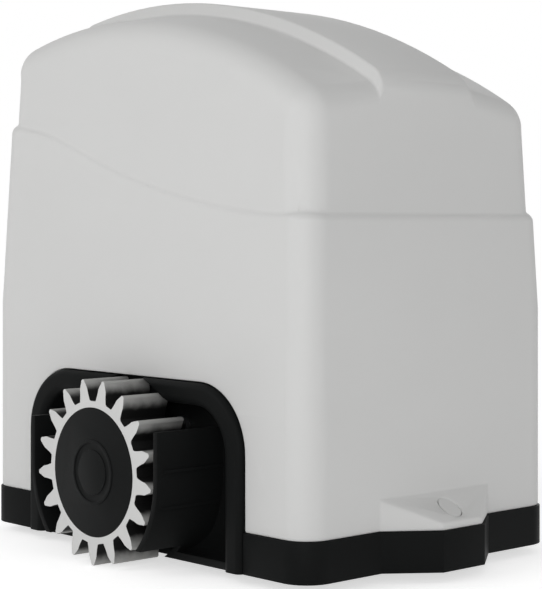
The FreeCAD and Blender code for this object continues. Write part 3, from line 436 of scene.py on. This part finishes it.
# ---- Terminal screws ----
# A slotted screw of zinc-plated steel stands in each of the twelve round wells of the terminal
# blocks, and clamps the wire that enters below it.
well_pitch, blocks = 0.005, ((0.0, 5), (0.036, 7))   # where each block starts, and its wells
screw_radius, screw_length, slot_half, slot_depth = 0.0015, 0.0016, 0.00028, 0.0007
well_in, well_up = 0.0034, 0.005                     # the first block's low corner to a screw
bpy.ops.object.select_all(action="DESELECT")
bpy.ops.mesh.primitive_cylinder_add(vertices=20, radius=screw_radius, depth=screw_length,
                                    location=(0, 0, 0), rotation=(0, math.radians(-90), 0))
screw = bpy.context.active_object
bpy.ops.object.transform_apply(location=True, rotation=True, scale=True)
bpy.ops.object.mode_set(mode="EDIT")
for slot_side in (-slot_half, slot_half):
    bpy.ops.mesh.select_all(action="SELECT")
    bpy.ops.mesh.bisect(plane_co=(0, slot_side, 0), plane_no=(0, 1, 0))
bpy.ops.mesh.select_all(action="DESELECT")
bpy.ops.object.mode_set(mode="OBJECT")
for face in screw.data.polygons:
    face.select = face.normal.x < -0.9 and abs(face.center.y) < slot_half
bpy.ops.object.mode_set(mode="EDIT")
bpy.ops.mesh.select_mode(type="FACE")
bpy.ops.mesh.extrude_region_move(TRANSFORM_OT_translate={"value": (slot_depth, 0, 0)})
bpy.ops.object.mode_set(mode="OBJECT")
block_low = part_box("terminal_blocks")[0]
copies = []
for start, count in blocks:
    for i in range(count):
        one = bpy.data.objects.new("terminal_screw", screw.data.copy())
        well = block_low + Vector((well_in, start + (i + 0.5) * well_pitch, well_up))
        for point in one.data.vertices:
            point.co += well
        bpy.context.scene.collection.objects.link(one)
        copies.append(one)
bpy.data.objects.remove(screw)
bpy.ops.object.select_all(action="DESELECT")
for one in copies:
    one.select_set(True)
bpy.context.view_layer.objects.active = copies[0]
bpy.ops.object.join()
screws = bpy.context.active_object
screws.name = "terminal_screws"
bpy.ops.object.shade_smooth_by_angle(angle=math.radians(30))
dress(screws, zinc)
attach(screws, "base")

# ---- The transformer ----
# A shell-type mains transformer: varnished E and I sheets stacked round two copper coils, and held
# down on the plinth by a foot strap of zinc-plated steel.
stack_x = laminated("varnished_steel_sheets_lying", "X")
dress(nodes["transformer_core"], stack_x)
dress(nodes["transformer_coil"], copper)
dress(nodes["transformer_foot"], zinc)

# ---- The run capacitor ----
# A polypropylene can with two tabs for its wires, standing in a cup of black polyamide on the
# plinth's floor.
# Its can is a creamy, slightly glossy white.
cream = moulded("white_polypropylene_can", "#E0DFD8", "#D8D7CF", roughness=0.35, grain_mm=2.5,
                depth_mm=0.01, gloss=0.5)
dress(soften("run_capacitor", 0.5, "base"), cream)
dress(soften("capacitor_cup", 0.3, "base"), black_pa)

# ---- The limit sensor ----
# A moulded black block with a reed switch inside, set on the gearbox's nose.  It feels the magnets
# at the two ends of the rack.
dress(soften("limit_sensor", 0.4, "base"), cap_black)

# ---- Floor, surround and lamps ----
# A pale studio floor that keeps the motor's shadow and fades to a white surround.  Four broad lamps
# stand round the motor, the two strongest on the viewer's side and none of them straight above, so
# the roof is a little darker than the walls.
floor_radius, floor_drop = 14, 0.0002
bpy.ops.object.select_all(action="DESELECT")
bpy.ops.mesh.primitive_circle_add(vertices=96, radius=floor_radius, fill_type="NGON",
                                  location=(0, 0, cad_low[2] - floor_drop))
floor = bpy.context.active_object
floor.name = "floor"
bpy.ops.object.transform_apply(location=True, rotation=True, scale=True)


def shown(tree):
    """1 where the surface is seen by the camera, in a reflection or through glass, else 0."""
    ray = add_node(tree, "ShaderNodeLightPath")
    one = add_node(tree, "ShaderNodeMath", {"operation": "MAXIMUM"},
                   {0: ray.outputs["Is Camera Ray"], 1: ray.outputs["Is Glossy Ray"]})
    return add_node(tree, "ShaderNodeMath", {"operation": "MAXIMUM"},
                    {0: one.outputs[0], 1: ray.outputs["Is Transmission Ray"]}).outputs[0]


# Seen directly, the floor glows nearly white and turns fully white further out.  What it throws
# back on the motor comes from a plain matt floor with little glow.
fade_start, fade_end = 0.16, 0.60   # distances from the middle of the floor
pale = new_material("pale_studio_floor")
place = add_node(pale, "ShaderNodeTexCoord").outputs["Object"]
radius = add_node(pale, "ShaderNodeVectorMath", {"operation": "LENGTH"}, {0: place})
fade = add_node(pale, "ShaderNodeMapRange", {"interpolation_type": "SMOOTHSTEP",
                                             "From Min": fade_start, "From Max": fade_end},
                {"Value": radius.outputs["Value"]})
matt = add_node(pale, "ShaderNodeBsdfDiffuse", {"Color": hex_colour("#E6E6E6")})
glow = add_node(pale, "ShaderNodeEmission", {"Color": (1, 1, 1, 1), "Strength": 0.62})
near = add_node(pale, "ShaderNodeAddShader", None, {0: matt.outputs[0], 1: glow.outputs[0]})
far = add_node(pale, "ShaderNodeEmission", {"Color": (1, 1, 1, 1), "Strength": 1.0})
both = add_node(pale, "ShaderNodeMixShader", None,
                {0: fade.outputs[0], 1: near.outputs[0], 2: far.outputs[0]})
lift = add_node(pale, "ShaderNodeEmission", {"Color": (1, 1, 1, 1), "Strength": 0.25})
lit = add_node(pale, "ShaderNodeAddShader", None, {0: matt.outputs[0], 1: lift.outputs[0]})
seen = add_node(pale, "ShaderNodeMixShader", None,
                {0: shown(pale), 1: lit.outputs[0], 2: both.outputs[0]})
add_node(pale, "ShaderNodeOutputMaterial", None, {"Surface": seen.outputs[0]})
dress(floor, pale)

# The surround is white to look at, and lights the motor with only three tenths of that.
world = bpy.data.worlds.new("studio")
bpy.context.scene.world = world
world.use_nodes = True
world.node_tree.nodes.clear()
soft = add_node(world, "ShaderNodeBackground", {"Color": (1, 1, 1, 1), "Strength": 0.30})
white = add_node(world, "ShaderNodeBackground", {"Color": (1, 1, 1, 1), "Strength": 1.0})
seen = add_node(world, "ShaderNodeMixShader", None,
                {0: shown(world), 1: soft.outputs[0], 2: white.outputs[0]})
add_node(world, "ShaderNodeOutputWorld", None, {"Surface": seen.outputs[0]})


def lamp(name, place, power):
    """A lamp of one metre square, turned to the middle of the motor."""
    light = bpy.data.lights.new(name, "AREA")
    light.energy, light.size = power, 1.0
    stand = bpy.data.objects.new(name, light)
    stand.location = place
    middle = Vector((0, 0, 0.1))
    stand.rotation_euler = (middle - Vector(place)).to_track_quat("-Z", "Y").to_euler()
    bpy.context.scene.collection.objects.link(stand)


lamp("key_lamp", (1.08, -1.22, 0.40), power=8.7)
lamp("front_lamp", (-0.50, -1.45, 0.95), power=7.8)
lamp("back_lamp", (-1.10, 1.45, 0.12), power=6.0)
lamp("side_lamp", (1.70, 0.20, 0.40), power=2.6)
